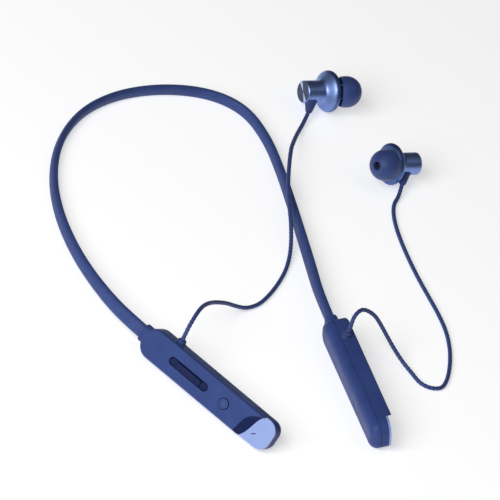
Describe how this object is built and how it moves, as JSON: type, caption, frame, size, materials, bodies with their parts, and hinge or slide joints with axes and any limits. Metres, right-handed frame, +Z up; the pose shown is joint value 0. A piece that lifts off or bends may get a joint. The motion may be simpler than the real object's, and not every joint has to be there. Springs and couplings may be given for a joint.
{
  "type": "neckband earphones",
  "caption": "Wireless neckband earphones: a curved silicone band between a control pod and a battery pod, with corded magnetic in-ear buds.",
  "frame": {"origin": "centre of the footprint of everything but the two cords, on the table that it lies on", "axes": "+X from the control pod to the battery pod and the earbuds, +Y from the pods' tips to the back of the neck, +Z up"},
  "size_m": [0.1851, 0.2061, 0.0233],
  "materials": {
    "pod_shell": "satin soft-touch coat",
    "key_plastic": "satin moulded",
    "accent_plate": "satin, pale blue",
    "band_silicone": "matte, finely textured",
    "tip_silicone": "smooth silicone",
    "soft_rubber": "matte",
    "cable_jacket": "twisted matte jacket",
    "bud_metal": "anodised satin blue",
    "spun_cap": "spun, anodised blue",
    "black_plastic": "moulded",
    "bare_steel": "plain",
    "circuit_board": "solder mask",
    "lens": "translucent",
    "cell_pouch": "foil pouch",
    "foam": "closed-cell foam"
  },
  "bodies": {
    "headset": {"control_pod_face_shell": "pod_shell", "control_pod_back_shell": "pod_shell", "battery_pod_face_shell": "pod_shell", "battery_pod_back_shell": "pod_shell", "control_pod_accent_plate": "accent_plate", "battery_pod_accent_plate": "accent_plate", "control_pod_grommet": "soft_rubber", "battery_pod_grommet": "soft_rubber", "control_pod_collar": "pod_shell", "battery_pod_collar": "pod_shell", "key_carrier": "black_plastic", "tact_switches": "bare_steel", "control_board": "circuit_board", "bluetooth_module": "bare_steel", "microphone": "bare_steel", "status_led": "lens", "charging_port": "bare_steel", "battery_cell": "cell_pouch", "battery_foam_pad": "foam", "battery_protection_board": "circuit_board", "neckband_sleeve": "band_silicone", "memory_wire": "bare_steel", "band_link_cable": "cable_jacket", "left_front_housing": "bud_metal", "left_rear_housing": "bud_metal", "left_rear_cap": "spun_cap", "left_clasp_magnet": "bare_steel", "left_driver_unit": "bare_steel", "left_diaphragm": "lens", "left_nozzle_mesh": "bare_steel", "left_strain_relief": "soft_rubber", "left_cord": "cable_jacket", "right_front_housing": "bud_metal", "right_rear_housing": "bud_metal", "right_rear_cap": "spun_cap", "right_clasp_magnet": "bare_steel", "right_driver_unit": "bare_steel", "right_diaphragm": "lens", "right_nozzle_mesh": "bare_steel", "right_strain_relief": "soft_rubber", "right_cord": "cable_jacket"},
    "volume_rocker": {"volume_rocker": "key_plastic"},
    "multifunction_button": {"multifunction_button": "key_plastic"},
    "left_ear_tip": {"left_ear_tip": "tip_silicone"},
    "right_ear_tip": {"right_ear_tip": "tip_silicone"}
  },
  "joints": [
    {"name": "volume_rock", "type": "hinge", "parent": "headset", "child": "volume_rocker", "pos_m": [-0.08368, -0.05538, 0.00731], "axis": [0.3349, 0.0967, 0.9373], "range_deg": [-2.5, 2.5], "stiffness_Nm_per_rad": 0.02},
    {"name": "button_press", "type": "slide", "parent": "headset", "child": "multifunction_button", "axis": [0.9005, 0.2599, -0.3486], "range_m": [0, 0.0003], "stiffness_N_per_m": 400},
    {"name": "left_tip_pull", "type": "slide", "parent": "headset", "child": "left_ear_tip", "axis": [0.8995, -0.3848, 0.2069], "range_m": [0, 0.006]},
    {"name": "right_tip_pull", "type": "slide", "parent": "headset", "child": "right_ear_tip", "axis": [-0.9659, -0.1558, 0.2069], "range_m": [0, 0.006]}
  ]
}
